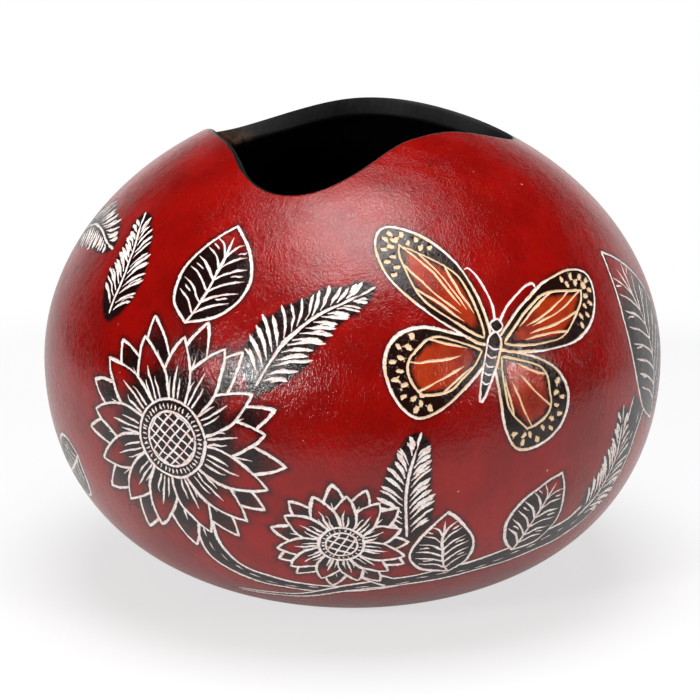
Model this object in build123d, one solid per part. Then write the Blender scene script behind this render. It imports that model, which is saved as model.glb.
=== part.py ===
from build123d import *
from math import atan2, cos, degrees, radians, sin
import os

# A gourd bowl: a squat round dried gourd, stood on a flat sanded into its underside, with a wavy
# mouth sawn through its crown. The woody wall carries two coats. The dyed and varnished skin is
# on the outside, and it is what the picture is scratched through. Black paint covers the inside
# and runs over the sawn lip.
# Millimetres. Z is up, the sanded base lies on Z = 0, and the front of the bowl faces -Y.

# The round of the gourd
widest_radius = 70.0
crown_height = 58.4  # from the widest level up to where the crown would close
belly_depth = 54.0  # from the widest level down to the natural underside
sanded_depth = 1.5  # taken off the underside, so that the bowl stands

# How full each quarter of the outline is, as shares of that quarter's radius or height
crown_side_share = 0.55
crown_top_share = 0.51
belly_side_share = 0.57
belly_bottom_share = 0.69

# The layers of the wall, from the outside in
skin_coat = 0.35  # dyed and varnished skin
woody_wall = 3.85
paint_coat = 0.3  # black paint, inside and over the lip

# The mouth: a cone cut from the middle of the gourd, whose half-angle rises and falls in a wave
mouth_angle = 31.0
wave_angle = 7.8
wave_count = 3
dip_azimuth = -18.5  # a dip of the wave, from the front towards +X
pinch_angle = 1.4  # narrows the dips and broadens the crests between them
lean_angle = 4.6  # the mouth leans as a whole, and is lowest at lean_azimuth
lean_azimuth = -72.0
oval_angle = 1.3  # the mouth is a little longer one way, towards oval_azimuth
oval_azimuth = 76.0
lip_radius = 0.9  # rounding of the sawn lip, inside and outside

# The cutter for the mouth
cutter_points = 36  # points that each wavy ring of the cutter passes through
cutter_overrun = 12.0  # how far it reaches past the crown
cutter_start_share = 0.35  # where its cone starts, as a share of the crown's height
cutter_foot_share = 0.5  # radius of its flat foot, as a share of the cone's where that starts

wall_thickness = skin_coat + woody_wall + paint_coat
widest_level = belly_depth - sanded_depth
gourd_middle = Vector(0, 0, widest_level)
cutter_start = cutter_start_share * crown_height
cutter_end = crown_height + cutter_overrun


def round_body(inset):
    """The uncut gourd, solid, with its surface drawn in by inset."""
    radius = widest_radius - inset
    crown = crown_height - inset
    belly = belly_depth - inset
    lower = Bezier(
        (0, -belly),
        (belly_bottom_share * radius, -belly),
        (radius, -belly_side_share * belly),
        (radius, 0),
    )
    upper = Bezier(
        (radius, 0),
        (radius, crown_side_share * crown),
        (crown_top_share * radius, crown),
        (0, crown),
    )
    axis = Line((0, crown), (0, -belly))
    outline = Plane.XZ * make_face([lower, upper, axis])
    return Pos(gourd_middle) * revolve(outline, Axis.Z)


def cut_angle(azimuth, widening):
    """The angle between the vertical and the saw cut, in degrees, seen from the gourd's middle."""
    from_dip = wave_count * radians(azimuth - dip_azimuth)
    wave = wave_angle * cos(from_dip) + pinch_angle * cos(2 * from_dip)
    lean = lean_angle * cos(radians(azimuth - lean_azimuth))
    oval = oval_angle * cos(2 * radians(azimuth - oval_azimuth))
    return mouth_angle + wave + lean + oval + degrees(atan2(widening, crown_height))


def wavy_ring(reach, widening):
    """A closed curve on the cone of the mouth, at a distance of reach from the gourd's middle."""
    points = []
    for step in range(cutter_points):
        azimuth = 360 * step / cutter_points
        angle = radians(cut_angle(azimuth, widening))
        outward = reach * sin(angle)
        turn = radians(azimuth)
        points.append(gourd_middle + Vector(outward * sin(turn), -outward * cos(turn), reach * cos(angle)))
    return Wire(Edge.make_spline(points, periodic=True))


def level_ring(radius, height):
    """A flat circle round the axis, which starts at the front as the wavy rings do."""
    plane = Plane((0, 0, height), x_dir=(0, -1, 0), z_dir=(0, 0, 1))
    return Wire(Edge.make_circle(radius, plane))


def mouth_cutter(widening=0.0):
    """What the saw takes out: all that is inside the wavy cone. Widening moves its face outward."""
    cone_spread = sin(radians(mouth_angle))
    rings = [
        level_ring(cutter_foot_share * cutter_start * cone_spread, widest_level + cutter_start),
        wavy_ring(cutter_start, widening),
        wavy_ring(cutter_end, widening),
        level_ring(cutter_end * cone_spread, widest_level + cutter_end + cutter_overrun),
    ]
    return Solid.make_loft(rings, ruled=True)


def long_edges_above_foot(body):
    """The sawn edges of a body, without the short seams across its wall."""
    upper = [edge for edge in body.edges() if edge.bounding_box().min.Z > widest_level + cutter_start]
    return [edge for edge in upper if edge.length > 2 * wall_thickness]


def sawn_wall():
    """The wall with all its layers as one body: hollow, sanded flat, sawn open, its lip rounded."""
    hollow = round_body(0) - round_body(wall_thickness) - mouth_cutter()
    standing = split(hollow, Plane.XY, keep=Keep.TOP)
    return fillet(long_edges_above_foot(standing), lip_radius)


def unpainted_space(under_wood):
    """All the space outside the paint: it reaches past the gourd, and follows the rounded inner lip."""
    space = round_body(-cutter_overrun) - under_wood - mouth_cutter(paint_coat)
    crown_level = widest_level + crown_height
    inner_lip = [edge for edge in long_edges_above_foot(space) if edge.bounding_box().max.Z < crown_level]
    return fillet(inner_lip, lip_radius - paint_coat)


def gourd_layers():
    """The wall parted into its dyed skin, its woody shell and its coat of black paint."""
    wall = sawn_wall()
    under_skin = round_body(skin_coat)
    unpainted = unpainted_space(round_body(skin_coat + woody_wall))
    bare_wall = wall & unpainted
    return {
        "dyed_skin": bare_wall - under_skin,
        "gourd_shell": bare_wall & under_skin,
        "black_paint_coat": wall - unpainted,
    }


os.makedirs("parts", exist_ok=True)
for name, layer in gourd_layers().items():
    export_step(layer, f"parts/{name}.step")
    print(name, round(layer.volume), "cubic mm,", len(layer.solids()), "solid")
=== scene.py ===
import math
import bpy
import numpy as np
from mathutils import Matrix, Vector
from mathutils.geometry import delaunay_2d_cdt
from mathutils.kdtree import KDTree


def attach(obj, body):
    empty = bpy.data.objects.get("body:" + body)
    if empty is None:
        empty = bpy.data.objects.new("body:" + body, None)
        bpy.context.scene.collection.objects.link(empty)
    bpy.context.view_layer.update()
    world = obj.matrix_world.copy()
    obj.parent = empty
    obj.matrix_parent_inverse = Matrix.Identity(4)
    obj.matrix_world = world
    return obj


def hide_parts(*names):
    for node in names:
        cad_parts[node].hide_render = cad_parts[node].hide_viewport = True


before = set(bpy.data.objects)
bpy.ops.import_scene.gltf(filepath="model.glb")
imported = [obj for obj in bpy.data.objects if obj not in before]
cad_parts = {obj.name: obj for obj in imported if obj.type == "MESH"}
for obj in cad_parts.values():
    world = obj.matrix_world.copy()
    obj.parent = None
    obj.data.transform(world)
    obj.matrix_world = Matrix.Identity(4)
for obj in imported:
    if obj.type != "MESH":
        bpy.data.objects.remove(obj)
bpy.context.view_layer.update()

mm = 0.001

# A carved gourd bowl. The drawing is scratched through the dyed skin, so that piece is built here
# with its real grooves; the woody shell and the black paint keep their solids.

gourd = {  # the round of the gourd and its mouth, in millimetres and degrees, as in the solids
    "widestRadius": 70.0,
    "crownHeight": 58.4,
    "bellyDepth": 54.0,
    "sandedDepth": 1.5,
    "crownSide": 0.55,
    "crownTop": 0.51,
    "bellySide": 0.57,
    "bellyBottom": 0.69,
    "mouthAngle": 31.0,
    "waveAngle": 7.8,
    "waves": 3,
    "dipAt": -18.5,
    "pinchAngle": 1.4,
    "leanAngle": 4.6,
    "leanAt": -72.0,
    "ovalAngle": 1.3,
    "ovalAt": 76.0,
    "lipRadius": 0.9,
    "paintCoat": 0.3,
    "skinCoat": 0.35,
}
widestLevel = gourd["bellyDepth"] - gourd["sandedDepth"]


# the outline of the gourd, as tables over the length along it

def bezier(corners, steps):
    t = np.linspace(0, 1, steps)[:, None]
    p = np.array(corners, float)
    return (1 - t) ** 3 * p[0] + 3 * (1 - t) ** 2 * t * p[1] + 3 * (1 - t) * t * t * p[2] + t ** 3 * p[3]


def outlineOf(inset):
    radius = gourd["widestRadius"] - inset
    crown = gourd["crownHeight"] - inset
    belly = gourd["bellyDepth"] - inset
    side, bottom = gourd["bellySide"] * belly, gourd["bellyBottom"] * radius
    lower = bezier([(0, -belly), (bottom, -belly), (radius, -side), (radius, 0)], 2000)
    side, top = gourd["crownSide"] * crown, gourd["crownTop"] * radius
    upper = bezier([(radius, 0), (radius, side), (top, crown), (0, crown)], 2000)
    line = np.concatenate([lower, upper[1:]])
    along = np.concatenate([[0], np.cumsum(np.hypot(*np.diff(line, axis=0).T))])
    along -= along[len(lower) - 1]  # zero at the widest level
    start = np.interp(0, line[:, 1] + widestLevel, along)  # where it meets the sanded base
    end = np.interp(-8, -line[len(lower):, 0], along[len(lower):])  # short of the closed crown
    s = np.linspace(start, end, 4000)
    r = np.interp(s, along, line[:, 0])
    h = np.interp(s, along, line[:, 1])
    dr, dh = np.gradient(r, s), np.gradient(h, s)
    size = np.hypot(dr, dh)
    turn = np.concatenate([[0], np.cumsum(np.diff(s) / ((r[1:] + r[:-1]) / 2))])
    turn -= np.interp(0, s, turn)
    angle = np.degrees(np.arctan2(r, h))
    level = h + widestLevel
    return {"s": s, "r": r, "z": level, "nr": dh / size, "nz": -dr / size, "turn": turn, "angle": angle}


outer = outlineOf(0)
inner = outlineOf(gourd["skinCoat"])


def read(name, s, table=None):
    table = table or outer
    return np.interp(s, table["s"], table[name])


def pointsOn(azimuth, s, depth, table=None):
    r = read("r", s, table) - depth * read("nr", s, table)
    z = read("z", s, table) - depth * read("nz", s, table)
    return np.stack([r * np.sin(azimuth), -r * np.cos(azimuth), z], -1)


def mouthAngle(azimuth):
    fromDip = gourd["waves"] * (azimuth - math.radians(gourd["dipAt"]))
    wave = gourd["waveAngle"] * np.cos(fromDip) + gourd["pinchAngle"] * np.cos(2 * fromDip)
    lean = gourd["leanAngle"] * np.cos(azimuth - math.radians(gourd["leanAt"]))
    oval = gourd["ovalAngle"] * np.cos(2 * (azimuth - math.radians(gourd["ovalAt"])))
    coat = math.degrees(math.atan2(gourd["paintCoat"], gourd["crownHeight"]))
    return gourd["mouthAngle"] + wave + lean + oval + coat


def mouthEdge(azimuth, table=None):
    table = table or outer
    return np.interp(-mouthAngle(azimuth), -table["angle"], table["s"])


def flatMap(azimuth, s):  # a map of the skin that keeps every shape: rings round the base
    size = np.exp(read("turn", s))
    return np.stack([size * np.cos(azimuth), size * np.sin(azimuth)], -1)


def fromFlatMap(flat):
    azimuth = np.arctan2(flat[:, 1], flat[:, 0])
    s = np.interp(np.log(np.hypot(flat[:, 0], flat[:, 1])), outer["turn"], outer["s"])
    return azimuth, s


# drawing: shapes lie over one another, each with its scratched lines and its dye

shapes = []
rng = np.random.default_rng(11)


def smooth(x):
    x = np.clip(x, 0, 1)
    return x * x * (3 - 2 * x)


def inside(points, outline):
    x, y = points[:, 0], points[:, 1]
    result = np.zeros(len(points), bool)
    for (x0, y0), (x1, y1) in zip(outline, np.roll(outline, -1, axis=0)):
        if y0 != y1:
            result ^= ((y0 > y) != (y1 > y)) & (x < (x1 - x0) * (y - y0) / (y1 - y0) + x0)
    return result


def distanceTo(points, outline):
    best = np.full(len(points), 1e9)
    for a, b in zip(outline, np.roll(outline, -1, axis=0)):
        way = b - a
        t = np.clip(((points - a) @ way) / max(way @ way, 1e-12), 0, 1)
        best = np.minimum(best, np.hypot(*(points - a - t[:, None] * way).T))
    return best


def curve(corners, closed=False, step=0.5):
    p = np.array(corners, float)
    n = len(p)
    if closed:
        p = np.concatenate([p[-1:], p, p[:2]])
        spans = n
    else:
        p = np.concatenate([[2 * p[0] - p[1]], p, [2 * p[-1] - p[-2]]])
        spans = n - 1
    t = np.linspace(0, 1, 14, endpoint=False)[:, None]
    line = []
    for i in range(spans):
        a, b, c, d = p[i:i + 4]
        square, cube = 2 * a - 5 * b + 4 * c - d, 3 * b - a - 3 * c + d
        line.append(0.5 * (2 * b + (c - a) * t + square * t ** 2 + cube * t ** 3))
    line.append(p[spans:spans + 1] if closed else p[-2:-1])
    if closed:
        line[-1] = line[0][:1]
    return evenly(np.concatenate(line), step)


def evenly(line, step):
    line = np.array(line, float)
    along = np.concatenate([[0], np.cumsum(np.hypot(*np.diff(line, axis=0).T))])
    count = max(3, int(round(along[-1] / step)) + 1)
    at = np.linspace(0, along[-1], count)
    return np.stack([np.interp(at, along, line[:, 0]), np.interp(at, along, line[:, 1])], -1)


def turned(points, degrees):
    a = math.radians(degrees)
    x, y = np.array(points, float).T
    return np.stack([x * math.cos(a) - y * math.sin(a), x * math.sin(a) + y * math.cos(a)], -1)


def shape(where, lines, cover, dye):
    shapes.append({"where": where, "lines": lines, "cover": cover, "dye": dye})


def line(points, width, ends=(0.5, 0.5)):  # ends = mm over which it thins out
    return {"points": np.array(points, float), "width": width, "ends": ends}


scratch = {  # the burin's lines, in mm: first their widths
    "contour": 0.66,
    "fine": 0.52,
    "hair": 0.42,
    "needle": 0.86,
    "dot": 1.05,
    "depth": 0.2,
    "sway": 0.09,  # how far the hand strays, and over what length
    "swayOver": 5.0,
    "press": 0.2,  # how much its pressure changes the width, as a share, and over what length
    "pressOver": 6.0,
    "edgeShare": 1.16,  # where the points beside a groove lie, as a share of half its width
    "ragged": 0.13,  # how unevenly they lie
    "tipShare": 1.3,  # where the point past its end lies
    "offMouth": 2.5,  # no line comes nearer than this
    "offBase": 2.0,
    "reach": 1.0,  # more than half the widest line
}
halo = {"petal": 3.0, "leaf": 2.6, "stem": 2.2, "wing": 2.0, "fern": 2.0}  # mm of burnt shade outside


def normals(path):  # the way along a path, and across it
    way = np.gradient(path, axis=0)
    way /= np.maximum(np.hypot(way[:, 0], way[:, 1]), 1e-9)[:, None]
    return way, np.stack([-way[:, 1], way[:, 0]], -1)


def petal(length, half, lean):  # returns its two sides
    shares = ((0, 0), (0.28, 0.7), (0.6, 1.0), (0.86, 0.52), (1, 0))
    return [curve([(x * length, y * half * side + lean * x) for x, y in shares]) for side in (1, -1)]


def bloom(where, radius, petals, heart):
    for layer, (reach, shift) in enumerate(((1.0, 0.5), (0.9, 0.0))):
        for k in range(petals):
            angle = 360 * (k + shift) / petals + rng.uniform(-3, 3)
            length = radius * reach * rng.uniform(0.94, 1.05)
            half = 0.6 * math.pi * radius / petals * rng.uniform(0.94, 1.06)
            left, right = petal(length, half, rng.uniform(-0.9, 0.9))
            start = int(len(left) * heart / length * 0.9)
            veins = [(0.0, 0.72, 0.0)]
            if layer:
                veins += [(0.3, 0.6, 0.36), (-0.3, 0.6, -0.36)]
            sides = [turned(side[start:], angle) for side in (left, right)]
            lines = [line(side, scratch["contour"], (0.2, 0.3)) for side in sides]
            for near, far, out in veins:
                bent = (0.55 * length, out * half + rng.uniform(-0.2, 0.2))
                vein = curve([(heart * 1.06, near * half), bent, (far * length, out * half * 0.9)])
                lines.append(line(turned(vein, angle), scratch["fine"], (0.2, 2.0)))
            outline = turned(np.concatenate([left, right[::-1]]), angle)
            fade = (0.55 if layer else 1.2) * (radius - heart)
            dye = {"heart": heart, "heartFade": fade, "rimShade": 0.75, "halo": halo["petal"]}
            shape(where, lines, outline, dye)
    around = np.linspace(0, 2 * math.pi, 40, endpoint=False)
    ring = np.stack([np.cos(around), np.sin(around)], -1)
    lines = [line(curve(ring[::5] * heart, closed=True), scratch["contour"])]
    core = heart * 0.7
    lines.append(line(curve(ring[::5] * core, closed=True), scratch["fine"]))
    ticks = int(5.2 * heart)
    for k in range(ticks):
        a = 2 * math.pi * (k + rng.uniform(-0.15, 0.15)) / ticks
        way = np.array([math.cos(a), math.sin(a)])
        lines.append(line(evenly([way * core * 1.1, way * heart * 0.9], 0.4), scratch["hair"], (0.4, 0.4)))
    gap = 1.75
    for tilt in (42, -42):
        count = int(core / gap)
        for k in range(-count, count + 1):
            reach = math.sqrt(max(0, (core * 0.94) ** 2 - (k * gap) ** 2))
            if reach > 0.8:
                row = curve([(-reach, k * gap), (0, k * gap * 1.06), (reach, k * gap)])
                lines.append(line(turned(row, tilt), scratch["hair"], (0.2, 0.2)))
    shape(where, lines, ring * heart, {"black": 1.0})


def leaf(where, length, half, bend=0.0, veins=6):
    dark = 0.75  # share of its length that is burnt black
    t = np.linspace(0, 1, 9)

    def width(u):
        return half * np.sin(np.pi * u ** 0.8) ** 0.85

    def middle(u):
        return np.stack([length * u, bend * 4 * u * (1 - u)], -1)

    upper = curve(middle(t) + np.stack([0 * t, width(t)], -1))
    lower = curve(middle(t) - np.stack([0 * t, width(t)], -1))
    lines = [line(side, scratch["contour"], (0.2, 0.2)) for side in (upper, lower)]
    lines.append(line(curve(middle(t)[:-1]), scratch["contour"], (0.2, 2.5)))
    for k in range(veins):
        u = 0.1 + 0.68 * k / veins
        v = u + 0.17
        for side in (-1, 1):
            foot, end = middle(np.array(u)), middle(np.array(v)) + (0, side * width(v) * 0.84)
            bent = (foot + end) / 2 + (0.5, -side * 0.3)
            lines.append(line(curve([foot, bent, end]), scratch["fine"], (0.2, 2.0)))
            if k % 2 == 0:
                lift = np.array([0.09 * length, -side * 0.25])
                branch = [end - (end - foot) * 0.45 + lift, end - (end - foot) * 0.1 + lift * 0.7]
                lines.append(line(evenly(branch, 0.4), scratch["hair"], (0.6, 0.6)))
    outline = np.concatenate([upper, lower[::-1]])
    dye = {"black": 1.0, "fadeFrom": dark * length, "fadeOver": 0.35 * length, "halo": halo["leaf"]}
    shape(where, lines, outline, dye)


def needle(foot, tip, bow, wide):
    way = tip - foot
    size = math.hypot(*way)
    across = np.array([-way[1], way[0]]) / size
    middle = (foot + tip) / 2 + across * bow
    lines = [line(curve([foot, middle, tip], step=0.45), wide, (0.45 * size, 0.16 * size))]
    if rng.random() < 0.3:  # a second pass of the burin, that leaves a dark sliver between the two
        side = rng.choice((-1, 1)) * wide * 0.75
        start = foot + way * 0.3 + across * side * 0.6
        stop = tip - way * rng.uniform(-0.04, 0.16) + across * side
        second = curve([start, (start + stop) / 2 + across * bow, stop], step=0.45)
        lines.append(line(second, scratch["fine"], (1.2, 0.5)))
    return lines


def fern(where, corners, reach, pairs):
    tip = 0.4  # how long the last needles are, as a share of the first
    spine = curve(corners)
    way, side = normals(spine)
    lines = [line(spine, scratch["contour"], (0.3, 1.5))]
    bands = {1: [], -1: []}
    pairs = int(1.45 * pairs)
    for sign in (1, -1):
        for k in range(pairs):
            u = 0.04 + 0.94 * (k + (0.4 if sign > 0 else 0)) / pairs
            i = min(len(spine) - 1, int(u * len(spine)))
            size = reach * (1 - (1 - tip) * u ** 1.5) * min(1, 0.6 + 3 * u) * rng.uniform(0.88, 1.08)
            spread = math.radians(58 - 24 * u + rng.uniform(-4, 4))
            toward = way[i] * math.cos(spread) + side[i] * math.sin(spread) * sign
            foot, end = spine[i] + toward * 1.1, spine[i] + toward * size
            lines += needle(foot, end, -0.05 * size * sign, scratch["needle"] * rng.uniform(0.72, 1.1))
            bands[sign].append(spine[i] + toward * size * 0.84)
    top = spine[-1] + way[-1] * reach * tip * 0.8
    lines += needle(spine[-1], top + way[-1], 0.0, scratch["needle"] * 0.7)
    outline = np.concatenate([spine[:1] - way[:1], np.array(bands[1]), [top], np.array(bands[-1])[::-1]])
    dye = {"black": 1.0, "halo": halo["fern"], "haloShade": 0.95}
    shape(where, lines, curve(outline, closed=True, step=0.8), dye)


def stem(where, corners, wide, narrow=0.15):
    mid = curve(corners)
    side = normals(mid)[1]
    t = np.linspace(0, 1, len(mid))[:, None]
    half = narrow + (wide - narrow) * (1 - t) ** 0.8 + 0.22 * np.sin(t * 0.45 * len(mid) * 0.5 + 1) * (1 - t)
    left, right = mid + side * half, mid - side * half
    lines = [line(left, scratch["contour"], (0.3, 1.5)), line(right, scratch["contour"], (0.3, 1.5))]
    for k in range(4, int(len(mid) * 0.75), 9):
        shift = rng.uniform(-0.5, 0.5)
        part = mid[k:k + 7] + side[k:k + 7] * shift * half[k:k + 7]
        if half[k] > 0.9:
            lines.append(line(part, scratch["hair"], (1.2, 1.5)))
    shape(where, lines, np.concatenate([left, right[::-1]]), {"black": 1.0, "halo": halo["stem"]})


def wingVeins(root, inner, count):
    reach = np.hypot(*(inner - root).T)
    far = np.nonzero(reach > 0.62 * reach.max())[0]
    low, high = far.min(), far.max()
    lines = []
    for u in np.linspace(0.08, 0.92, count):
        end = inner[int(low + (high - low) * u)]
        bend = np.array([-(end - root)[1], (end - root)[0]]) * rng.uniform(-0.03, 0.03)
        vein = curve([root + (end - root) * 0.34, root + (end - root) * 0.68 + bend, end])
        lines.append(line(vein, scratch["fine"], (2.5, 0.2)))
    return lines


def wing(where, corners, root, flip, size, spots):
    rim = curve([(x * flip * size, y * size) for x, y in corners], closed=True)
    root = np.array(root) * (flip * size, size)
    side = normals(rim)[1]
    inward = side if inside(rim[:1] + side[:1] * 0.5, rim)[0] else -side
    reach = np.hypot(*(rim - root).T)
    band = size * (1.5 + 3.2 * smooth((reach / reach.max() - 0.45) / 0.4))
    inner = rim + inward * band[:, None]
    deep = distanceTo(inner, rim) > 0.92 * band
    inner = evenly(inner[deep & inside(inner, rim)], 0.5)
    lines = [line(rim, scratch["contour"]), line(inner, scratch["fine"], (0.5, 0.5))]
    lines += wingVeins(root, inner, spots - 2)
    far = np.nonzero(band > size * 4.0)[0]
    for k, u in enumerate(np.linspace(0.03, 0.97, 2 * spots + 1)):
        i = far[int(u * (len(far) - 1))]
        centre = rim[i] + inward[i] * band[i] * (0.34, 0.66)[k % 2]
        dot = inward[i] * 0.55 * size
        lines.append(line(evenly([centre - dot, centre, centre + dot], 0.3), scratch["dot"], (0.35, 0.35)))
    dye = {"black": 1.0, "rimOnly": inner, "rimFade": 2.0, "orange": 1.0, "halo": halo["wing"]}
    shape(where, lines, rim, dye)


def butterfly(where, size=1.0):
    fore = [(1.0, 3.0), (4.5, 10), (10, 17), (17.5, 22), (24.5, 22.5)]
    fore += [(27, 18), (25.5, 12), (20.5, 7), (12, 3.2), (3, 1.0)]
    hind = [(1.4, 0.6), (8, 1.4), (16, 0.5), (21, -4), (21.5, -10.5)]
    hind += [(17.5, -16), (12, -18.2), (7.5, -14.5), (3.6, -8), (1.2, -2.5)]
    for flip in (-1, 1):
        wing(where, hind, (1.4, -0.6), flip, size, 6)
        wing(where, fore, (1.6, 2.2), flip, size, 7)
    trunk = [(0, 4.4), (1.5, 2.8), (1.6, 0), (1.35, -4), (0.7, -9), (0, -11)]
    trunk += [(-x, y) for x, y in trunk[-2:0:-1]]
    trunk = curve([(x * size, y * size) for x, y in trunk], closed=True)
    lines = [line(trunk, scratch["fine"])]
    for y in (1.0, -0.9, -2.8, -4.7, -6.6):
        half = size * (1.2 + 0.05 * y)
        band = curve([(-half, y * size), (0, (y - 0.45) * size), (half, y * size)])
        lines.append(line(band, scratch["hair"], (0.3, 0.3)))
    shape(where, lines, trunk, {"black": 1.0})
    head = [(1.45, 5.6), (0, 7.1), (-1.45, 5.6), (0, 4.2)]
    head = curve([(x * size, y * size) for x, y in head], closed=True)
    feelers = []
    for flip in (-1, 1):
        path = [(0.6, 6.8), (2.2, 11), (5.2, 15.2), (7.6, 17.0), (8.6, 16.4)]
        path = curve([(x * flip * size, y * size) for x, y in path])
        feelers.append(line(path, scratch["fine"], (0.3, 0.3)))
    shape(where, feelers + [line(head, scratch["fine"])], head, {"black": 1.0})


# where = degrees round from the front, mm above the widest level along the skin, turn in degrees

def drawFront():
    front = (0, 0, 0)
    fern((-92, 31, 12), [(0, 0), (9, 2), (18, 1), (26, -2)], 9.0, 10)
    fern((-53, 21, 108), [(0, 0), (7, -2), (14, -2.5), (21, -1)], 8.5, 9)
    leaf((-33, 23, 82), 24, 8.5, -2.0)
    fern((-17, 12, 40), [(0, 0), (9, 3.5), (18, 4.5), (27, 3)], 9.5, 11)
    leaf((-62, -14, 208), 20, 7.5, 1.5)
    stem(front, [(-34, -16), (-30, -30), (-20, -38), (-4, -41), (14, -38)], 2.7, 0.7)
    vine = [(78, -2), (68, -17), (55, -27), (38, -32), (20, -36), (0, -40), (-12, -46), (-26, -47)]
    stem(front, vine, 3.7, 0.4)
    stem(front, [(8, -38), (-2, -31), (-6, -25), (-14, -21)], 1.6)
    fern((10, -22, 84), [(0, 0), (7, 1.5), (14, 2), (21, 1)], 8.5, 9)
    leaf((20, -35, 100), 19, 7.0, 1.5)
    leaf((34, -31, 68), 21, 7.5, 1.0)
    fern((50, -26, 66), [(0, 0), (7, -2), (15, -2), (23, 1)], 9.0, 10)
    leaf((73, -9, 100), 42, 12.5, -2.0, 8)
    bloom((-33, -2, 8), 26, 13, 8.6)
    bloom((-2, -24, 20), 15, 11, 4.8)
    butterfly((26, 18, -22), 1.0)


def drawBack():
    back = (180, 0, 0)
    stem(back, [(-70, -24), (-52, -33), (-34, -35), (-16, -29), (-4, -15), (4, -2)], 2.6, 0.8)
    stem(back, [(-30, -34), (-8, -40), (14, -38), (36, -36)], 1.8)
    leaf((146, -30, 62), 23, 8.0, 1.5)
    leaf((196, -24, 20), 22, 7.5, -1.5)
    leaf((205, -36, 12), 18, 6.0, 1.0)
    fern((166, 12, 118), [(0, 0), (9, 2), (19, 1), (27, -3)], 9.0, 11)
    fern((197, 14, 62), [(0, 0), (8, -2), (17, -1), (26, 3)], 9.0, 11)
    fern((122, -20, 80), [(0, 0), (8, 2), (17, 3), (26, 1)], 9.0, 10)
    leaf((104, 13, 52), 21, 7.5, 1.5)
    bloom((181, 3, 0), 22, 12, 7.4)
    butterfly((232, 12, 20), 0.86)
    fern((258, -22, 48), [(0, 0), (8, -2), (16, -2), (23, 1)], 8.5, 9)
    leaf((249, -24, 160), 20, 7.0, 1.0)


drawFront()
drawBack()
print("drawing:", len(shapes), "shapes")


def toSkin(where, points):
    azimuth, level, turn = where
    p = turned(points, turn)
    s = level + p[:, 1]
    return math.radians(azimuth) + p[:, 0] / read("r", s), s


def fromSkin(where, azimuth, s):
    around = (azimuth - math.radians(where[0]) + math.pi) % (2 * math.pi) - math.pi
    p = np.stack([around * read("r", s), s - where[1]], -1)
    return turned(p, -where[2])


def nearBox(points, outline, reach):
    low, high = outline.min(0) - reach, outline.max(0) + reach
    return np.nonzero(((points > low) & (points < high)).all(1))[0]


def wobble(count, step, span, amount):  # slow chance changes along a line
    knots = rng.normal(0, 1, max(4, int(count * step / span) + 4))
    return amount * np.interp(np.linspace(0, len(knots) - 1.001, count), np.arange(len(knots)), knots)


def placeLines():
    placed = []
    for order, one in enumerate(shapes):
        for item in one["lines"]:
            p = item["points"].copy()
            step = np.hypot(*(p[1] - p[0]))
            p += normals(p)[1] * wobble(len(p), step, scratch["swayOver"], scratch["sway"])[:, None]
            azimuth, s = toSkin(one["where"], p)
            along = np.arange(len(p)) * step
            ahead = along[-1] - along
            thinIn, thinOut = item["ends"]
            grow = np.minimum(1, (along + 0.12) / thinIn) * np.minimum(1, (ahead + 0.12) / thinOut)
            press = np.clip(1 + wobble(len(p), step, scratch["pressOver"], scratch["press"]), 0.62, 1.6)
            half = 0.5 * item["width"] * np.clip(grow, 0.2, 1) ** 0.7 * press
            seen = np.ones(len(p), bool)
            placed.append({"azimuth": azimuth, "s": s, "half": half, "order": order, "seen": seen})
    for order, one in enumerate(shapes):  # each shape hides the lines that lie under it
        for item in placed:
            if item["order"] >= order:
                continue
            p = fromSkin(one["where"], item["azimuth"], item["s"])
            near = nearBox(p, one["cover"], 0)
            if len(near):
                item["seen"][near[inside(p[near], one["cover"])]] = False
    runs = []
    for item in placed:
        seen = item["seen"] & (item["s"] < mouthEdge(item["azimuth"]) - scratch["offMouth"])
        seen &= item["s"] > outer["s"][0] + scratch["offBase"]
        edges = np.flatnonzero(np.diff(np.concatenate([[0], seen.astype(int), [0]])))
        for a, b in zip(edges[::2], edges[1::2]):
            if b - a > 2:
                runs.append({k: item[k][a:b] for k in ("azimuth", "s", "half")})
    return runs


def raggedEdge(count):
    r = rng.normal(0, 1, count)
    return scratch["edgeShare"] + scratch["ragged"] * np.clip(0.75 * r + 0.35 * np.roll(r, 1), -1.3, 1.6)


def grooveRows(run):
    azimuth, s, half = run["azimuth"], run["s"], run["half"]
    r = read("r", s)
    across, up = np.gradient(azimuth) * r, np.gradient(s)
    size = np.maximum(np.hypot(across, up), 1e-9)
    nx, ny = -up / size, across / size
    left, right = half * raggedEdge(len(s)), half * raggedEdge(len(s))
    return (azimuth + nx * left / r, s + ny * left), (azimuth, s), (azimuth - nx * right / r, s - ny * right)


def grooveTips(run):  # just past each end of a groove, where it has run out
    azimuth, s, half = run["azimuth"], run["s"], run["half"]
    tips = []
    for end, before in ((0, 1), (-1, -2)):
        r = float(read("r", s[end]))
        across, up = (azimuth[end] - azimuth[before]) * r, s[end] - s[before]
        reach = scratch["tipShare"] * half[end] / max(math.hypot(across, up), 1e-9)
        tips.append((azimuth[end] + across * reach / r, s[end] + up * reach))
    return np.array(tips)


skinMesh = {
    "ringCount": 360,  # points round each rim
    "innerRows": 20,
    "spacing": 1.55,  # mm between the points of the plain skin
    "rowShare": 0.87,
    "jitter": 0.12,
    "keepOff": 0.62,  # mm from these to a groove, to the base and to the mouth
    "offBase": 1.2,
    "offMouth": 2.0,
    "lipSteps": (0.0, 0.12, 0.3, 0.6, 0.95, 1.6),  # mm below the painted edge, to follow the rounded lip
    "sharpAngle": 14.0,
    "paintLap": 0.75,  # mm that the black paint runs over the lip, onto the skin
    "lapFade": 0.3,
}


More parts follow.
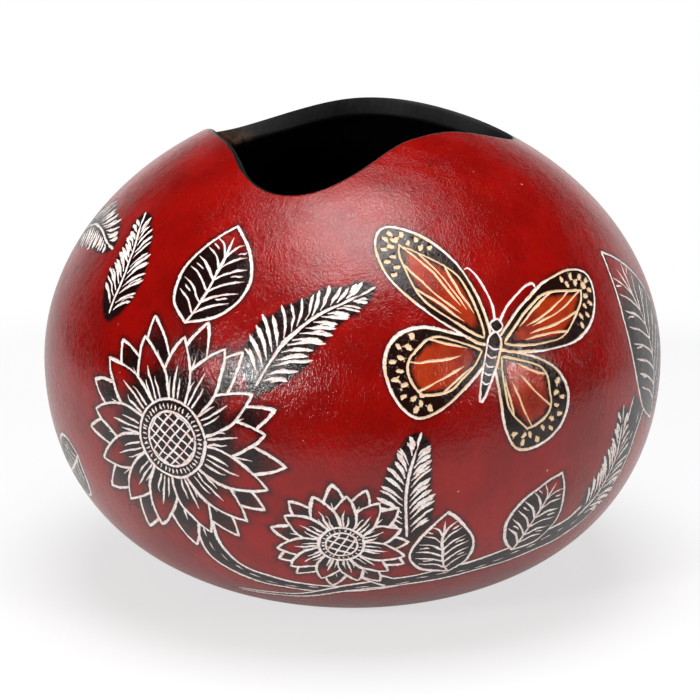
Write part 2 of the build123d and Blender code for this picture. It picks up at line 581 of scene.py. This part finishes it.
def gridPoints(tree):
    rows = []
    edge = mouthEdge(np.linspace(-math.pi, math.pi, 721))
    lowest = outer["s"][0] + skinMesh["offBase"]
    levels = np.arange(lowest, edge.max(), skinMesh["spacing"] * skinMesh["rowShare"])
    for k, level in enumerate(levels):
        count = int(2 * math.pi * read("r", level) / skinMesh["spacing"])
        azimuth = 2 * math.pi * (np.arange(count) + 0.5 * (k % 2)) / count - math.pi
        azimuth = azimuth[level < mouthEdge(azimuth) - skinMesh["offMouth"]]
        jitter = rng.uniform(-skinMesh["jitter"], skinMesh["jitter"], len(azimuth))
        rows.append(np.stack([azimuth, level + jitter], -1))
    points = np.concatenate(rows)
    places = pointsOn(points[:, 0], points[:, 1], 0)
    free = [tree.find(p)[2] > skinMesh["keepOff"] for p in places]
    return points[np.array(free)]


def grooveSamples(runs):  # the middles of all the grooves, to find the nearest ones to any point
    tree = KDTree(sum(len(run["s"]) for run in runs))
    samples, half, following = [], [], []
    for run in runs:
        places = pointsOn(run["azimuth"], run["s"], 0)
        for k in range(len(places)):
            tree.insert(places[k], len(samples))
            following.append(len(samples) + 1 if k + 1 < len(places) else len(samples))
            samples.append(Vector(places[k]))
            half.append(run["half"][k])
    tree.balance()
    return tree, samples, half, following


def fixedLines(runs, ringAzimuth):  # the rims and the grooves, whose edges the triangles must follow
    rowsOf = [(grooveRows(run), grooveTips(run)) for run in runs]
    count = skinMesh["ringCount"]
    parts = [np.stack([ringAzimuth, np.full(count, outer["s"][0])], -1)]
    for drop in skinMesh["lipSteps"]:
        parts.append(np.stack([ringAzimuth, mouthEdge(ringAzimuth) - drop], -1))
    edges = []
    for k in range(len(parts)):
        edges += [(k * count + j, k * count + (j + 1) % count) for j in range(count)]
    start = len(parts) * count
    for rows, tips in rowsOf:
        n = len(rows[0][0])
        for k, (azimuth, s) in enumerate(rows):
            parts.append(np.stack([azimuth, s], -1))
            edges += [(start + k * n + j, start + k * n + j + 1) for j in range(n - 1)]
        parts.append(tips)
        for tip, first in ((start + 3 * n, start), (start + 3 * n + 1, start + n - 1)):
            edges += [(first, tip), (first + n, tip), (first + 2 * n, tip)]
        start += 3 * n + 2
    return parts, edges


def facesBetweenRims(flat, faces, ringAzimuth):
    # the two rims are polygons on the map, so a face is kept by the side of the polygon that it lies on
    middle = flat[faces].mean(1)
    mouth = flatMap(ringAzimuth, mouthEdge(ringAzimuth))
    base = flatMap(ringAzimuth, np.full(len(ringAzimuth), outer["s"][0]))
    faces = faces[inside(middle, mouth) & ~inside(middle, base)]
    a, b, c = flat[faces[:, 0]], flat[faces[:, 1]], flat[faces[:, 2]]
    area = (b[:, 0] - a[:, 0]) * (c[:, 1] - a[:, 1]) - (b[:, 1] - a[:, 1]) * (c[:, 0] - a[:, 0])
    faces[area < 0] = faces[area < 0][:, ::-1]
    return faces


def depthBelow(groove, below):  # how deep each point lies under the whole round
    depth = scratch["depth"] * np.minimum(1, 1.5 * groove) * (0.85 + 0.15 * rng.uniform(-1, 1, len(groove)))
    lip = gourd["lipRadius"]
    fromCut = np.clip(below + gourd["paintCoat"], 0, lip)
    return np.maximum(depth, lip - np.sqrt(np.maximum(lip ** 2 - (lip - fromCut) ** 2, 0)))


def paintOver(azimuth, below):  # at the back the brush went further over the lip than at the front
    uneven = 1 + 0.25 * np.sin(7 * azimuth + 1) + 0.2 * np.sin(23 * azimuth)
    lap = skinMesh["paintLap"] * (0.8 - 0.3 * np.cos(azimuth)) * uneven
    return smooth((lap - below) / skinMesh["lapFade"] + 0.5)


def innerFace(ringAzimuth, first, baseRing, mouthRing):  # hidden, it closes the skin from base to mouth
    rows, count = skinMesh["innerRows"], skinMesh["ringCount"]
    top = mouthEdge(ringAzimuth, inner)
    places, quads = [], []
    for k in range(rows + 1):
        level = inner["s"][0] + (top - inner["s"][0]) * k / rows
        places.append(pointsOn(ringAzimuth, level, 0, inner))
    for k in range(rows):
        low, high = first + k * count, first + (k + 1) * count
        for j in range(count):
            i = (j + 1) % count
            quads.append((low + j, high + j, high + i, low + i))
    last = first + rows * count
    for j in range(count):
        i = (j + 1) % count
        quads.append((baseRing[i], baseRing[j], first + j, first + i))
        quads.append((mouthRing[j], mouthRing[i], last + i, last + j))
    return places, quads


def buildSkin():
    runs = placeLines()
    print("scratched lines:", len(runs), "runs,", sum(len(run["s"]) for run in runs), "points")
    count = skinMesh["ringCount"]
    ringAzimuth = 2 * math.pi * np.arange(count) / count - math.pi
    parts, edges = fixedLines(runs, ringAzimuth)
    tree, samples, half, following = grooveSamples(runs)
    points = np.concatenate(parts + [gridPoints(tree)])
    flat = [Vector(p) for p in flatMap(points[:, 0], points[:, 1])]
    found = delaunay_2d_cdt(flat, edges, [], 0, 1e-7, True)
    print("triangulated:", len(found[0]), "points,", len(found[2]), "faces")
    flat = np.array([tuple(v) for v in found[0]])
    azimuth, s = fromFlatMap(flat)
    faces = facesBetweenRims(flat, np.array([f for f in found[2] if len(f) == 3]), ringAzimuth)
    groove = grooveValues(azimuth, s, tree, samples, half, following)
    below = mouthEdge(azimuth) - s
    places = pointsOn(azimuth, s, depthBelow(groove, below))
    black, orange = dyeValues(azimuth, s)
    newIndex = {old: new for new, olds in enumerate(found[3]) for old in olds}
    baseRing = [newIndex[k] for k in range(count)]
    mouthRing = [newIndex[count + k] for k in range(count)]
    innerPlaces, quads = innerFace(ringAzimuth, len(places), baseRing, mouthRing)
    mesh = bpy.data.meshes.new("dyedSkinScratched")
    allPlaces = np.concatenate([places] + innerPlaces) * mm
    mesh.from_pydata(allPlaces.tolist(), [], faces.tolist() + quads)
    mesh.validate()
    hidden = np.zeros(len(allPlaces) - len(places))
    dyes = {"scratch": groove, "blackDye": black, "orangeDye": orange, "lapPaint": paintOver(azimuth, below)}
    for name, values in dyes.items():
        layer = mesh.attributes.new(name, "FLOAT", "POINT")
        layer.data.foreach_set("value", np.concatenate([values, hidden]).astype(np.float32))
    mesh.shade_smooth()
    mesh.set_sharp_from_angle(angle=math.radians(skinMesh["sharpAngle"]))
    skin = bpy.data.objects.new("dyedSkinScratched", mesh)
    bpy.context.scene.collection.objects.link(skin)
    print("skin mesh:", len(mesh.vertices), "points,", len(mesh.polygons), "faces")
    return skin


def grooveValues(azimuth, s, tree, samples, half, following):
    places = pointsOn(azimuth, s, 0)
    values = np.zeros(len(places))
    for k, place in enumerate(places):
        p = Vector(place)
        best = 0.0
        for co, index, gap in tree.find_range(p, scratch["reach"]):
            a, b = samples[index], samples[following[index]]
            way = b - a
            size = way.length_squared
            t = min(1.0, max(0.0, (p - a).dot(way) / size)) if size > 0 else 0.0
            here = half[index] + (half[following[index]] - half[index]) * t
            value = 1 - (p - a - way * t).length / here
            if value > best:
                best = value
        values[k] = best
    return values


def dyeValues(azimuth, s):
    black, orange = np.zeros(len(s)), np.zeros(len(s))
    for one in shapes:
        outline, dye = one["cover"][::2], one["dye"]
        p = fromSkin(one["where"], azimuth, s)
        near = nearBox(p, outline, max(halo.values()))
        if not len(near):
            continue
        q = p[near]
        within = inside(q, outline)
        gap = distanceTo(q, outline)
        if "halo" in dye:
            around = dye.get("haloShade", 0.6) * smooth(1 - gap / dye["halo"])
            outside = near[~within]
            black[outside] = np.maximum(black[outside], around[~within])
        q, gap, near = q[within], gap[within], near[within]
        dark = np.full(len(q), float(dye.get("black", 0)))
        if "fadeFrom" in dye:
            dark *= 1 - 0.9 * smooth((q[:, 0] - dye["fadeFrom"]) / dye["fadeOver"] + 0.5)
            dark = np.maximum(dark, 0.75 * smooth(1 - gap / 1.8))
        if "rimOnly" in dye:
            core = inside(q, dye["rimOnly"])
            deep = distanceTo(q, dye["rimOnly"])
            dark = np.where(core, smooth(1 - deep / dye["rimFade"]), 1.0)
        if "heart" in dye:
            out = np.hypot(q[:, 0], q[:, 1]) - dye["heart"]
            dark = 0.95 * smooth(1.25 - out / dye["heartFade"])
            dark = np.maximum(dark, dye["rimShade"] * smooth(1 - gap / 1.6))
        black[near] = dark
        orange[near] = dye.get("orange", 0)
    return black, orange


# materials

soft = {"interpolation_type": "SMOOTHSTEP"}  # Map Range: 0 is the value, 1 and 2 from, 3 and 4 to
blend = {"data_type": "RGBA"}  # Mix: 0 is the share, 6 and 7 the colours


def fromHex(text):
    parts = [int(text[k:k + 2], 16) / 255 for k in (0, 2, 4)]
    return tuple(p / 12.92 if p <= 0.04045 else ((p + 0.055) / 1.055) ** 2.4 for p in parts) + (1.0,)


def addNode(tree, kind, settings, output=0):  # a setting that is another node's output is linked
    node = tree.nodes.new("ShaderNode" + kind)
    for name, value in settings.items():
        if isinstance(value, bpy.types.NodeSocket):
            tree.links.new(value, node.inputs[name])
        elif name in node.bl_rna.properties.keys():
            setattr(node, name, value)
        else:
            node.inputs[name].default_value = value
    return node.outputs[output] if node.outputs else None


def newMaterial(name):
    material = bpy.data.materials.new(name)
    material.use_nodes = True
    material.node_tree.nodes.clear()
    return material, material.node_tree


skinLook = {
    "colours": {
        "red": "880502",
        "redBright": "980803",
        "redDull": "780905",
        "redFleck": "5C0503",
        "orange": "AE330C",
        "orangeDeep": "861D06",
        "black": "0B0807",
        "line": "FBF4F0",
        "lineTinted": "F0CFC6",
        "lineOnOrange": "F3D0A8",
        "paint": "1C1B1B",
    },
    "patterns": {  # mm across, detail, roughness
        "mottle": (9.0, 5.0, 0.6),  # patches of the dye
        "wide": (28.0, 2.0, 0.55),
        "flecks": (1.1, 5.0, 0.7),
        "specks": (1.9, 3.0, 0.6),
        "pores": (0.9, 3.0, 0.55),  # finer on the real skin, drawn as coarse as they show
        "grit": (0.35, 2.0, 0.55),
        "cracks": (15.0, 1.5, 0.5),
        "crackAreas": (30.0, 1.0, 0.55),
        "swell": (8.0, 3.0, 0.55),  # slow waves of the varnish
    },
    "overRed": (  # pattern, where it starts, where it is full, its share there, its colour
        ("mottle", 0.35, 0.66, 1.0, "redBright"),
        ("wide", 0.5, 0.75, 0.6, "redDull"),
        ("flecks", 0.54, 0.72, 0.55, "redFleck"),
        ("specks", 0.735, 0.78, 0.6, "lineTinted"),
    ),
    "creaseSize": 1.0,  # mm between the leathery creases
    "bendSize": 7.0,  # mm over which they bend
    "bendBy": 3.0,
    "creaseDepth": 0.065,
    "swellDepth": 0.45,
}


def dyedGourdSkin():
    # gourd skin dyed with aniline, burnt black by brush and varnished: a thin gloss over fine leathery pores
    material, tree = newMaterial("dyed gourd skin")
    place = addNode(tree, "TexCoord", {}, "Object")
    ink = {name: fromHex(text) for name, text in skinLook["colours"].items()}
    noise, drawn = {}, {}
    for name, (size, detail, roughness) in skinLook["patterns"].items():
        settings = {"Vector": place, "Scale": 1 / (size * mm), "Detail": detail, "Roughness": roughness}
        noise[name] = addNode(tree, "TexNoise", settings)
    for name in ("scratch", "blackDye", "orangeDye", "lapPaint"):
        drawn[name] = addNode(tree, "Attribute", {"attribute_name": name}, "Fac")
    red = ink["red"]
    for name, start, full, most, over in skinLook["overRed"]:
        share = addNode(tree, "MapRange", {**soft, 0: noise[name], 1: start, 2: full, 4: most})
        red = addNode(tree, "Mix", {**blend, 0: share, 6: red, 7: ink[over]}, 2)
    share = addNode(tree, "MapRange", {**soft, 0: noise["mottle"], 1: 0.35, 2: 0.65})
    orange = addNode(tree, "Mix", {**blend, 0: share, 6: ink["orangeDeep"], 7: ink["orange"]}, 2)
    isOrange = addNode(tree, "MapRange", {**soft, 0: drawn["orangeDye"], 1: 0.35, 2: 0.65})
    colour = addNode(tree, "Mix", {**blend, 0: isOrange, 6: red, 7: orange}, 2)
    # a few hairline cracks of the varnish
    crack = addNode(tree, "Math", {"operation": "SUBTRACT", 0: noise["cracks"], 1: 0.5})
    crack = addNode(tree, "Math", {"operation": "ABSOLUTE", 0: crack})
    crack = addNode(tree, "MapRange", {**soft, 0: crack, 1: 0.0, 2: 0.0045, 3: 1.0, 4: 0.0})
    some = addNode(tree, "MapRange", {**soft, 0: noise["crackAreas"], 1: 0.62, 2: 0.66, 4: 0.7})
    crack = addNode(tree, "Math", {"operation": "MULTIPLY", 0: crack, 1: some})
    colour = addNode(tree, "Mix", {**blend, 0: crack, 6: colour, 7: ink["black"]}, 2)
    # the burnt black has a soft, grainy edge
    burnt = addNode(tree, "Math", {"operation": "MULTIPLY_ADD", 0: noise["pores"], 1: 0.5, 2: -0.25})
    burnt = addNode(tree, "Math", {"operation": "ADD", 0: drawn["blackDye"], 1: burnt})
    burnt = addNode(tree, "MapRange", {**soft, 0: burnt, 1: 0.15, 2: 0.8, 4: 0.97})
    colour = addNode(tree, "Mix", {**blend, 0: burnt, 6: colour, 7: ink["black"]}, 2)
    # the scratched lines show the pale wood, with dye left in it, and have a gritty edge
    share = addNode(tree, "MapRange", {**soft, 0: noise["pores"], 1: 0.42, 2: 0.68})
    pale = addNode(tree, "Mix", {**blend, 0: share, 6: ink["line"], 7: ink["lineTinted"]}, 2)
    pale = addNode(tree, "Mix", {**blend, 0: isOrange, 6: pale, 7: ink["lineOnOrange"]}, 2)
    edge = addNode(tree, "Math", {"operation": "MULTIPLY_ADD", 0: noise["grit"], 1: 0.85, 2: -0.425})
    edge = addNode(tree, "Math", {"operation": "ADD", 0: drawn["scratch"], 1: edge})
    edge = addNode(tree, "MapRange", {**soft, 0: edge, 1: 0.16, 2: 0.3})
    inLine = addNode(tree, "MapRange", {**soft, 0: drawn["scratch"], 1: 0.0, 2: 0.08})
    inLine = addNode(tree, "Math", {"operation": "MULTIPLY", 0: edge, 1: inLine})
    colour = addNode(tree, "Mix", {**blend, 0: inLine, 6: colour, 7: pale}, 2)
    colour = addNode(tree, "Mix", {**blend, 0: drawn["lapPaint"], 6: colour, 7: ink["paint"]}, 2)
    # leathery creases run down the gourd and bend this way and that
    settings = {"Vector": place, "Scale": 1 / (skinLook["bendSize"] * mm), "Detail": 1.0}
    bend = addNode(tree, "TexNoise", settings, "Color")
    by = (skinLook["bendBy"] * mm,) * 3
    bent = addNode(tree, "VectorMath", {"operation": "MULTIPLY_ADD", 0: bend, 1: by, 2: place})
    bent = addNode(tree, "VectorMath", {"operation": "MULTIPLY", 0: bent, 1: (1.0, 1.0, 0.42)})
    settings = {"Vector": bent, "Scale": 1 / (skinLook["creaseSize"] * mm), "Detail": 3.0, "Roughness": 0.65}
    crease = addNode(tree, "TexNoise", settings)
    crease = addNode(tree, "Math", {"operation": "SUBTRACT", 0: crease, 1: 0.5})
    crease = addNode(tree, "Math", {"operation": "ABSOLUTE", 0: crease})
    crease = addNode(tree, "MapRange", {**soft, 0: crease, 1: 0.0, 2: 0.12})
    height = addNode(tree, "Math", {"operation": "MULTIPLY_ADD", 0: crease, 1: 0.7, 2: noise["pores"]})
    settings = {"Strength": 0.6, "Distance": skinLook["creaseDepth"] * mm, "Height": height}
    creased = addNode(tree, "Bump", settings)
    settings = {"Strength": 0.5, "Distance": skinLook["swellDepth"] * mm, "Height": noise["swell"]}
    bump = addNode(tree, "Bump", {**settings, "Normal": creased})
    roughness = addNode(tree, "Math", {"operation": "MULTIPLY_ADD", 0: noise["pores"], 1: 0.16, 2: 0.12})
    roughness = addNode(tree, "Math", {"operation": "MULTIPLY_ADD", 0: inLine, 1: 0.3, 2: roughness})
    settings = {"IOR": 1.48, "Base Color": colour, "Roughness": roughness, "Normal": bump}
    shader = addNode(tree, "BsdfPrincipled", settings)
    addNode(tree, "OutputMaterial", {"Surface": shader})
    return material


paintLook = {
    "colours": {
        "deep": "020202",  # painted shade: the paint's colour deep inside the bowl, darker than the same paint on the lip
        "lip": "1A1819",
        "lipWorn": "0F0E0E",
        "woodBelow": "4A2E1C",
    },
    "patterns": {"coarse": (5.0, 4.0, 0.55), "fine": (0.6, 3.0, 0.55)},  # mm across, detail, roughness
    "brushSize": 1.4,  # mm across a mark of the brush
    "wornAt": (-28.2, 29.0, 96.4),  # mm, where the lip is handled
    "wornOver": 7.0,
    "innerShare": 0.925,  # about the wall's inner and outer faces, as shares of the whole round: between them the painted shade inside gives way to the lip's colour
    "outerShare": 1.0,
    "brushDepth": 0.2,
}


def blackPaint():
    # black acrylic brushed on bare wood: a satin film that shows the brush, thin and brown where it is worn
    material, tree = newMaterial("brushed black acrylic")
    place = addNode(tree, "TexCoord", {}, "Object")
    ink = {name: fromHex(text) for name, text in paintLook["colours"].items()}
    noise = {}
    for name, (size, detail, roughness) in paintLook["patterns"].items():
        settings = {"Vector": place, "Scale": 1 / (size * mm), "Detail": detail, "Roughness": roughness}
        noise[name] = addNode(tree, "TexNoise", settings)
    drawn = addNode(tree, "VectorMath", {"operation": "MULTIPLY", 0: place, 1: (1.0, 1.0, 0.3)})
    settings = {"Vector": drawn, "Scale": 1 / (paintLook["brushSize"] * mm), "Detail": 4.0, "Roughness": 0.65}
    brush = addNode(tree, "TexNoise", settings)
    # painted shade: black deep inside, where the bowl lies in shade, and a little lighter on the lip
    middle = (0, 0, widestLevel * mm)
    wholeRound = tuple(1 / (gourd[name] * mm) for name in ("widestRadius", "widestRadius", "crownHeight"))
    out = addNode(tree, "VectorMath", {"operation": "SUBTRACT", 0: place, 1: middle})
    out = addNode(tree, "VectorMath", {"operation": "MULTIPLY", 0: out, 1: wholeRound})
    out = addNode(tree, "VectorMath", {"operation": "LENGTH", 0: out}, "Value")
    uneven = addNode(tree, "Math", {"operation": "MULTIPLY_ADD", 0: noise["coarse"], 1: 0.06, 2: -0.03})
    out = addNode(tree, "Math", {"operation": "ADD", 0: out, 1: uneven})
    limits = {1: paintLook["innerShare"], 2: paintLook["outerShare"]}
    # painted shade: this share picks the lip's colour on the lip and the darker deep colour inside
    lipShareOverPaintedShade = addNode(tree, "MapRange", {**soft, 0: out, **limits})
    share = addNode(tree, "MapRange", {**soft, 0: brush, 1: 0.35, 2: 0.65})
    lip = addNode(tree, "Mix", {**blend, 0: share, 6: ink["lip"], 7: ink["lipWorn"]}, 2)
    colour = addNode(tree, "Mix", {**blend, 0: lipShareOverPaintedShade, 6: ink["deep"], 7: lip}, 2)
    wornAt = tuple(value * mm for value in paintLook["wornAt"])
    worn = addNode(tree, "VectorMath", {"operation": "DISTANCE", 0: place, 1: wornAt}, "Value")
    worn = addNode(tree, "MapRange", {**soft, 0: worn, 1: 0.0, 2: paintLook["wornOver"] * mm, 3: 1.0, 4: 0.0})
    share = addNode(tree, "MapRange", {**soft, 0: brush, 1: 0.4, 2: 0.6})
    worn = addNode(tree, "Math", {"operation": "MULTIPLY", 0: worn, 1: share})
    colour = addNode(tree, "Mix", {**blend, 0: worn, 6: colour, 7: ink["woodBelow"]}, 2)
    height = addNode(tree, "Math", {"operation": "MULTIPLY_ADD", 0: noise["fine"], 1: 0.35, 2: brush})
    settings = {"Strength": 0.6, "Distance": paintLook["brushDepth"] * mm, "Height": height}
    bump = addNode(tree, "Bump", settings)
    roughness = addNode(tree, "Math", {"operation": "MULTIPLY_ADD", 0: noise["coarse"], 1: 0.2, 2: 0.5})
    settings = {"IOR": 1.45, "Specular IOR Level": 0.22, "Base Color": colour, "Roughness": roughness}
    shader = addNode(tree, "BsdfPrincipled", {**settings, "Normal": bump})
    addNode(tree, "OutputMaterial", {"Surface": shader})
    return material


woodLook = {
    "colours": {"pale": "C9A26B", "tan": "B48A55", "pit": "8A6238", "scar": "5A3C22"},
    "patterns": {"coarse": (6.0, 5.0, 0.55), "fibre": (0.5, 4.0, 0.55)},  # mm across, detail, roughness
    "scarRadius": 3.2,  # mm, the blossom scar in the middle of the base
    "strandShare": 0.18,  # a strand's width, as a share of its distance from the scar
    "pitDepth": 0.15,
}


def gourdWood():
    # bare gourd wood, sanded flat: pale, with strands round the dark blossom scar, pitted and unvarnished
    material, tree = newMaterial("sanded gourd wood")
    place = addNode(tree, "TexCoord", {}, "Object")
    ink = {name: fromHex(text) for name, text in woodLook["colours"].items()}
    noise = {}
    for name, (size, detail, roughness) in woodLook["patterns"].items():
        settings = {"Vector": place, "Scale": 1 / (size * mm), "Detail": detail, "Roughness": roughness}
        noise[name] = addNode(tree, "TexNoise", settings)
    share = addNode(tree, "MapRange", {**soft, 0: noise["coarse"], 1: 0.3, 2: 0.7})
    colour = addNode(tree, "Mix", {**blend, 0: share, 6: ink["pale"], 7: ink["tan"]}, 2)
    share = addNode(tree, "MapRange", {**soft, 0: noise["fibre"], 1: 0.5, 2: 0.75, 4: 0.5})
    colour = addNode(tree, "Mix", {**blend, 0: share, 6: colour, 7: ink["pit"]}, 2)
    flat = addNode(tree, "VectorMath", {"operation": "MULTIPLY", 0: place, 1: (1.0, 1.0, 0.0)})
    toward = addNode(tree, "VectorMath", {"operation": "NORMALIZE", 0: flat})
    settings = {"Vector": toward, "Scale": 1 / woodLook["strandShare"], "Detail": 4.0, "Roughness": 0.7}
    strands = addNode(tree, "TexNoise", settings)
    share = addNode(tree, "MapRange", {**soft, 0: strands, 1: 0.5, 2: 0.7, 4: 0.45})
    colour = addNode(tree, "Mix", {**blend, 0: share, 6: colour, 7: ink["pit"]}, 2)
    uneven = {"operation": "MULTIPLY_ADD", 0: noise["fibre"], 1: 1.5 * mm, 2: -0.75 * mm}
    out = addNode(tree, "VectorMath", {"operation": "LENGTH", 0: flat}, "Value")
    out = addNode(tree, "Math", {"operation": "ADD", 0: out, 1: addNode(tree, "Math", uneven)})
    edge = woodLook["scarRadius"] * mm
    scar = addNode(tree, "MapRange", {**soft, 0: out, 1: 0.6 * edge, 2: edge, 3: 1.0, 4: 0.0})
    colour = addNode(tree, "Mix", {**blend, 0: scar, 6: colour, 7: ink["scar"]}, 2)
    settings = {"Strength": 0.5, "Distance": woodLook["pitDepth"] * mm, "Height": noise["fibre"]}
    bump = addNode(tree, "Bump", settings)
    shader = addNode(tree, "BsdfPrincipled", {"Roughness": 0.75, "Base Color": colour, "Normal": bump})
    addNode(tree, "OutputMaterial", {"Surface": shader})
    return material


def dress(obj, material):
    obj.data.materials.clear()
    obj.data.materials.append(material)


skin = buildSkin()
dress(skin, dyedGourdSkin())
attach(skin, "root")
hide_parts("dyed_skin")
dress(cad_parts["black_paint_coat"], blackPaint())
dress(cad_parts["gourd_shell"], gourdWood())
print("materials done")


# the studio: a white table and a white backdrop behind it, a dark room in front, and soft lamps

studio = {
    "cameraReach": 700.0,  # mm from the middle of the gourd
    "cameraRise": 16.0,  # degrees above level
    "focalPixels": 3067.0,
    "picture": 700,
    "middleAt": (352.5, 353.2),  # pixel of the gourd's middle
    "sensor": 36.0,
    "tableHalf": 0.45,  # metres, as all sizes below
    "tableFront": -0.2,
    "tableBack": 0.8,
    "whiteFrom": 0.15,  # from the middle of the table, where it starts to fade into the backdrop
    "whiteAt": 0.26,
    "litAt": 0.08,  # the table as the varnish mirrors it brightens from the middle up to here
    "litShare": 0.5,  # how white it is there
    "paleShare": 0.66,  # keeps the shadow on the table light
    "tableSeen": "F2F2F2",
    "tableLight": "D6D6D6",  # what the table throws back on the gourd
    "roomLevel": 0.16,
    "roomMirrored": 0.01,
    "behindFrom": 0.42,  # the backdrop as the varnish mirrors it: how far back and how high it is seen
    "behindAt": 0.92,
    "backdropRight": 0.16,
    "aboveFrom": -0.02,
    "aboveAt": 0.32,
    "aim": (0, 0, 0.06),
    "lamps": {  # place, size, radiance
        "overheadSoftbox": ((0.01, -0.13, 0.9), (0.5, 0.62), 8.0),
        "leftLamp": ((-0.56, -0.73, 0.34), (0.155, 0.12), 68.0),
        "rightLamp": ((0.77, -0.5, 0.30), (0.16, 0.16), 26.0),
    },
}


def buildCamera():
    data = bpy.data.cameras.new("camera")
    data.sensor_width = studio["sensor"]
    data.lens = studio["sensor"] * studio["focalPixels"] / studio["picture"]
    half = studio["picture"] / 2
    data.shift_x = (half - studio["middleAt"][0]) / studio["picture"]
    data.shift_y = (studio["middleAt"][1] - half) / studio["picture"]
    data.clip_start, data.clip_end = 0.01, 20
    camera = bpy.data.objects.new("camera", data)
    rise, reach = math.radians(studio["cameraRise"]), studio["cameraReach"] * mm
    middle = Vector((0, 0, widestLevel * mm))
    camera.location = middle + Vector((0, -reach * math.cos(rise), reach * math.sin(rise)))
    camera.rotation_euler = (middle - camera.location).to_track_quat("-Z", "Y").to_euler()
    bpy.context.scene.collection.objects.link(camera)
    bpy.context.scene.camera = camera


def softLamp(name, place, size, radiance):
    data = bpy.data.lights.new(name, "AREA")
    data.shape = "RECTANGLE"
    data.size, data.size_y = size
    data.energy = radiance * math.pi * size[0] * size[1]
    lamp = bpy.data.objects.new(name, data)
    lamp.location = place
    lamp.rotation_euler = (Vector(studio["aim"]) - Vector(place)).to_track_quat("-Z", "Y").to_euler()
    bpy.context.scene.collection.objects.link(lamp)


def mirroredRay(tree):
    glossy = addNode(tree, "LightPath", {}, "Is Glossy Ray")
    through = addNode(tree, "LightPath", {}, "Is Transmission Ray")
    return addNode(tree, "Math", {"operation": "MAXIMUM", 0: glossy, 1: through})


def buildTable():
    half, front, back = studio["tableHalf"], studio["tableFront"], studio["tableBack"]
    corners = [(-half, front, 0), (half, front, 0), (half, back, 0), (-half, back, 0)]
    mesh = bpy.data.meshes.new("whiteTable")
    mesh.from_pydata(corners, [], [(0, 1, 2, 3)])
    table = bpy.data.objects.new("whiteTable", mesh)
    bpy.context.scene.collection.objects.link(table)
    material, tree = newMaterial("white table")
    place = addNode(tree, "TexCoord", {}, "Object")
    reach = addNode(tree, "VectorMath", {"operation": "LENGTH", 0: place}, "Value")
    seen = addNode(tree, "LightPath", {}, "Is Camera Ray")
    far = addNode(tree, "MapRange", {**soft, 0: reach, 1: studio["whiteFrom"], 2: studio["whiteAt"]})
    far = addNode(tree, "Math", {"operation": "MAXIMUM", 0: far, 1: studio["paleShare"]})
    far = addNode(tree, "Math", {"operation": "MULTIPLY", 0: far, 1: seen})
    lit = addNode(tree, "MapRange", {**soft, 0: reach, 1: 0.0, 2: studio["litAt"], 4: studio["litShare"]})
    lit = addNode(tree, "Math", {"operation": "MULTIPLY", 0: lit, 1: mirroredRay(tree)})
    white = addNode(tree, "Math", {"operation": "MAXIMUM", 0: far, 1: lit})
    colours = {6: fromHex(studio["tableLight"]), 7: fromHex(studio["tableSeen"])}
    shade = addNode(tree, "Mix", {**blend, 0: seen, **colours}, 2)
    paper = addNode(tree, "BsdfDiffuse", {"Color": shade})
    glow = addNode(tree, "Emission", {"Color": (1, 1, 1, 1), "Strength": 1.0})
    addNode(tree, "OutputMaterial", {"Surface": addNode(tree, "MixShader", {0: white, 1: paper, 2: glow})})
    dress(table, material)


def buildWorld():
    world = bpy.data.worlds.new("white backdrop")
    world.use_nodes = True
    tree = world.node_tree
    tree.nodes.clear()
    toward = addNode(tree, "TexCoord", {}, "Generated")
    right, back, up = (addNode(tree, "SeparateXYZ", {0: toward}, axis) for axis in "XYZ")
    back = addNode(tree, "Math", {"operation": "MULTIPLY_ADD", 0: right, 1: studio["backdropRight"], 2: back})
    behind = addNode(tree, "MapRange", {**soft, 0: back, 1: studio["behindFrom"], 2: studio["behindAt"]})
    limits = {1: studio["aboveFrom"], 2: studio["aboveAt"], 3: 1.0, 4: 0.0}
    low = addNode(tree, "MapRange", {**soft, 0: up, **limits})
    backdrop = addNode(tree, "Math", {"operation": "MULTIPLY", 0: behind, 1: low})
    mirrored = mirroredRay(tree)
    shown = addNode(tree, "Math", {"operation": "MULTIPLY", 0: mirrored, 1: backdrop})
    seen = addNode(tree, "LightPath", {}, "Is Camera Ray")
    shown = addNode(tree, "Math", {"operation": "MAXIMUM", 0: seen, 1: shown})
    limits = {3: studio["roomLevel"], 4: studio["roomMirrored"]}
    level = addNode(tree, "MapRange", {0: mirrored, **limits})
    room = addNode(tree, "Background", {"Color": (1, 1, 1, 1), "Strength": level})
    white = addNode(tree, "Background", {"Color": (1, 1, 1, 1), "Strength": 1.0})
    addNode(tree, "OutputWorld", {"Surface": addNode(tree, "MixShader", {0: shown, 1: room, 2: white})})
    bpy.context.scene.world = world


buildCamera()
buildTable()
buildWorld()
for name, (place, size, radiance) in studio["lamps"].items():
    softLamp(name, place, size, radiance)
bpy.context.scene.view_settings.view_transform = "Standard"
print("studio done")
